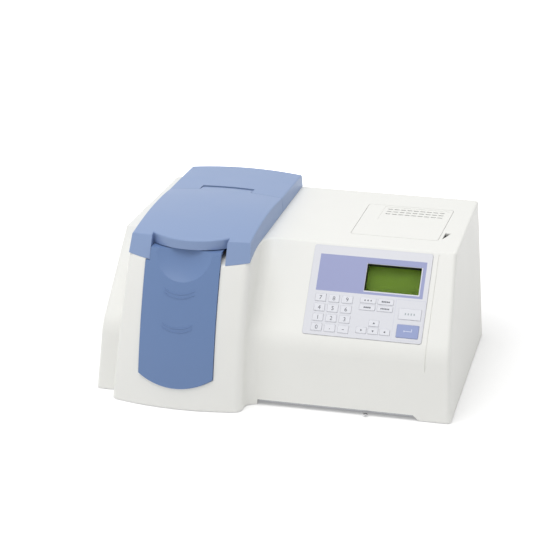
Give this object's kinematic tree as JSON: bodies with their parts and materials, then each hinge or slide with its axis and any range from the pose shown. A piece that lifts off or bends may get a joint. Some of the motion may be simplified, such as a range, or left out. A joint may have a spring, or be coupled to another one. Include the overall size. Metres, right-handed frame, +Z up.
{
  "type": "benchtop spectrophotometer",
  "caption": "Benchtop spectrophotometer with a hinged sample lid, a sliding cell carriage, a sloping key panel with a display, and a beam path with lamp, filters, grating and detector.",
  "frame": {"origin": "on the bench under the middle of the box of the whole instrument", "axes": "+X to the right seen from the front, +Y to the back, +Z up"},
  "size_m": [0.4496, 0.335, 0.213],
  "materials": {
    "base_tray": "zinc-plated sheet steel",
    "beam_mirrors": "coated glass",
    "carriage_rods": "ground steel",
    "cell_carriage": "black anodised aluminium",
    "chamber_liner": "black moulded plastic",
    "chamber_seal": "black foam rubber",
    "data_port": "nickel-plated shell",
    "detector_unit": "black anodised aluminium",
    "display_frame": "black moulding",
    "display_glass": "green backlit display glass",
    "display_window": "clear window",
    "enter_key": "lavender key cap, satin",
    "fan_frame": "black moulded plastic",
    "fan_rotor": "black moulded plastic",
    "filter_motor": "plated steel can",
    "filter_wheel": "black anodised disc",
    "front_panel": "blue moulded plastic, satin",
    "grating": "ruled and coated glass",
    "grating_motor": "plated steel can",
    "grating_table": "machined aluminium",
    "halogen_lamp": "quartz bulb",
    "hinge_pins": "ground steel",
    "key_board": "green circuit board",
    "key_cap": "pale key cap, satin",
    "lamp_cover": "moulded pale warm-grey plastic, fine texture",
    "lamp_house": "bare folded sheet",
    "lamp_socket": "white ceramic",
    "main_board": "green circuit board",
    "main_housing": "moulded pale warm-grey plastic, fine texture",
    "monochromator_case": "black painted casting",
    "monochromator_cover": "black painted sheet",
    "optical_base": "cast and milled aluminium plate",
    "panel_bezel": "pale overlay, satin",
    "power_inlet": "black moulded plastic",
    "power_supply": "plated sheet steel box",
    "power_switch": "black rocker",
    "rear_panel": "powder-coated sheet steel",
    "rear_top_cover": "moulded pale warm-grey plastic, fine texture",
    "rubber_feet": "black rubber",
    "sample_lid": "light blue moulded plastic, satin",
    "start_key": "white key cap, satin"
  },
  "bodies": {
    "instrument": {"base_tray": "base_tray", "beam_mirrors": "beam_mirrors", "carriage_rods": "carriage_rods", "chamber_liner": "chamber_liner", "chamber_seal": "chamber_seal", "data_port": "data_port", "detector_unit": "detector_unit", "display_frame": "display_frame", "display_glass": "display_glass", "display_window": "display_window", "fan_frame": "fan_frame", "filter_motor": "filter_motor", "front_panel": "front_panel", "grating_motor": "grating_motor", "halogen_lamp": "halogen_lamp", "hinge_pins": "hinge_pins", "key_board": "key_board", "lamp_cover": "lamp_cover", "lamp_house": "lamp_house", "lamp_socket": "lamp_socket", "main_board": "main_board", "main_housing": "main_housing", "monochromator_case": "monochromator_case", "monochromator_cover": "monochromator_cover", "optical_base": "optical_base", "panel_bezel": "panel_bezel", "power_inlet": "power_inlet", "power_supply": "power_supply", "rear_panel": "rear_panel", "rear_top_cover": "rear_top_cover", "rubber_feet": "rubber_feet"},
    "lid": {"sample_lid": "sample_lid"},
    "carriage": {"cell_carriage": "cell_carriage"},
    "fan": {"fan_rotor": "fan_rotor"},
    "filter_wheel": {"filter_wheel": "filter_wheel"},
    "grating_turntable": {"grating_table": "grating_table", "grating": "grating"},
    "power_switch": {"power_switch": "power_switch"},
    "key_0": {"key_0": "key_cap"},
    "key_1": {"key_1": "key_cap"},
    "key_2": {"key_2": "key_cap"},
    "key_3": {"key_3": "key_cap"},
    "key_4": {"key_4": "key_cap"},
    "key_5": {"key_5": "key_cap"},
    "key_6": {"key_6": "key_cap"},
    "key_7": {"key_7": "key_cap"},
    "key_8": {"key_8": "key_cap"},
    "key_9": {"key_9": "key_cap"},
    "key_down": {"key_down": "key_cap"},
    "key_enter": {"key_enter": "enter_key"},
    "key_f1": {"key_f1": "key_cap"},
    "key_f2": {"key_f2": "key_cap"},
    "key_f3": {"key_f3": "key_cap"},
    "key_f4": {"key_f4": "key_cap"},
    "key_left": {"key_left": "key_cap"},
    "key_minus": {"key_minus": "key_cap"},
    "key_point": {"key_point": "key_cap"},
    "key_right": {"key_right": "key_cap"},
    "key_start": {"key_start": "start_key"},
    "key_up": {"key_up": "key_cap"}
  },
  "joints": [
    {"name": "lid_hinge", "type": "hinge", "parent": "instrument", "child": "lid", "pos_m": [-0.10741, 0.06775, 0.2054], "axis": [-1, 0, 0], "range_deg": [0, 80]},
    {"name": "carriage_slide", "type": "slide", "parent": "instrument", "child": "carriage", "axis": [0, 1, 0], "range_m": [-0.016, 0.032]},
    {"name": "fan_spin", "type": "hinge", "parent": "instrument", "child": "fan", "pos_m": [0.125, 0.15025, 0.1], "axis": [0, 1, 0], "continuous": true},
    {"name": "filter_wheel_turn", "type": "hinge", "parent": "instrument", "child": "filter_wheel", "pos_m": [0.075, 0.03975, 0.085], "axis": [1, 0, 0], "continuous": true},
    {"name": "grating_turn", "type": "hinge", "parent": "instrument", "child": "grating_turntable", "pos_m": [0.02, -0.00325, 0.041], "axis": [0, 0, 1], "range_deg": [-20, 20]},
    {"name": "power_switch_rock", "type": "hinge", "parent": "instrument", "child": "power_switch", "pos_m": [0.0355, 0.16045, 0.042], "axis": [1, 0, 0], "range_deg": [-10, 10]},
    {"name": "key_0_press", "type": "slide", "parent": "instrument", "child": "key_0", "axis": [0, 0.788, -0.6157], "range_m": [0, 0.00025], "stiffness_N_per_m": 800},
    {"name": "key_1_press", "type": "slide", "parent": "instrument", "child": "key_1", "axis": [0, 0.788, -0.6157], "range_m": [0, 0.00025], "stiffness_N_per_m": 800},
    {"name": "key_2_press", "type": "slide", "parent": "instrument", "child": "key_2", "axis": [0, 0.788, -0.6157], "range_m": [0, 0.00025], "stiffness_N_per_m": 800},
    {"name": "key_3_press", "type": "slide", "parent": "instrument", "child": "key_3", "axis": [0, 0.788, -0.6157], "range_m": [0, 0.00025], "stiffness_N_per_m": 800},
    {"name": "key_4_press", "type": "slide", "parent": "instrument", "child": "key_4", "axis": [0, 0.788, -0.6157], "range_m": [0, 0.00025], "stiffness_N_per_m": 800},
    {"name": "key_5_press", "type": "slide", "parent": "instrument", "child": "key_5", "axis": [0, 0.788, -0.6157], "range_m": [0, 0.00025], "stiffness_N_per_m": 800},
    {"name": "key_6_press", "type": "slide", "parent": "instrument", "child": "key_6", "axis": [0, 0.788, -0.6157], "range_m": [0, 0.00025], "stiffness_N_per_m": 800},
    {"name": "key_7_press", "type": "slide", "parent": "instrument", "child": "key_7", "axis": [0, 0.788, -0.6157], "range_m": [0, 0.00025], "stiffness_N_per_m": 800},
    {"name": "key_8_press", "type": "slide", "parent": "instrument", "child": "key_8", "axis": [0, 0.788, -0.6157], "range_m": [0, 0.00025], "stiffness_N_per_m": 800},
    {"name": "key_9_press", "type": "slide", "parent": "instrument", "child": "key_9", "axis": [0, 0.788, -0.6157], "range_m": [0, 0.00025], "stiffness_N_per_m": 800},
    {"name": "key_down_press", "type": "slide", "parent": "instrument", "child": "key_down", "axis": [0, 0.788, -0.6157], "range_m": [0, 0.00025], "stiffness_N_per_m": 800},
    {"name": "key_enter_press", "type": "slide", "parent": "instrument", "child": "key_enter", "axis": [0, 0.788, -0.6157], "range_m": [0, 0.00025], "stiffness_N_per_m": 800},
    {"name": "key_f1_press", "type": "slide", "parent": "instrument", "child": "key_f1", "axis": [0, 0.788, -0.6157], "range_m": [0, 0.00025], "stiffness_N_per_m": 800},
    {"name": "key_f2_press", "type": "slide", "parent": "instrument", "child": "key_f2", "axis": [0, 0.788, -0.6157], "range_m": [0, 0.00025], "stiffness_N_per_m": 800},
    {"name": "key_f3_press", "type": "slide", "parent": "instrument", "child": "key_f3", "axis": [0, 0.788, -0.6157], "range_m": [0, 0.00025], "stiffness_N_per_m": 800},
    {"name": "key_f4_press", "type": "slide", "parent": "instrument", "child": "key_f4", "axis": [0, 0.788, -0.6157], "range_m": [0, 0.00025], "stiffness_N_per_m": 800},
    {"name": "key_left_press", "type": "slide", "parent": "instrument", "child": "key_left", "axis": [0, 0.788, -0.6157], "range_m": [0, 0.00025], "stiffness_N_per_m": 800},
    {"name": "key_minus_press", "type": "slide", "parent": "instrument", "child": "key_minus", "axis": [0, 0.788, -0.6157], "range_m": [0, 0.00025], "stiffness_N_per_m": 800},
    {"name": "key_point_press", "type": "slide", "parent": "instrument", "child": "key_point", "axis": [0, 0.788, -0.6157], "range_m": [0, 0.00025], "stiffness_N_per_m": 800},
    {"name": "key_right_press", "type": "slide", "parent": "instrument", "child": "key_right", "axis": [0, 0.788, -0.6157], "range_m": [0, 0.00025], "stiffness_N_per_m": 800},
    {"name": "key_start_press", "type": "slide", "parent": "instrument", "child": "key_start", "axis": [0, 0.788, -0.6157], "range_m": [0, 0.00025], "stiffness_N_per_m": 800},
    {"name": "key_up_press", "type": "slide", "parent": "instrument", "child": "key_up", "axis": [0, 0.788, -0.6157], "range_m": [0, 0.00025], "stiffness_N_per_m": 800}
  ]
}
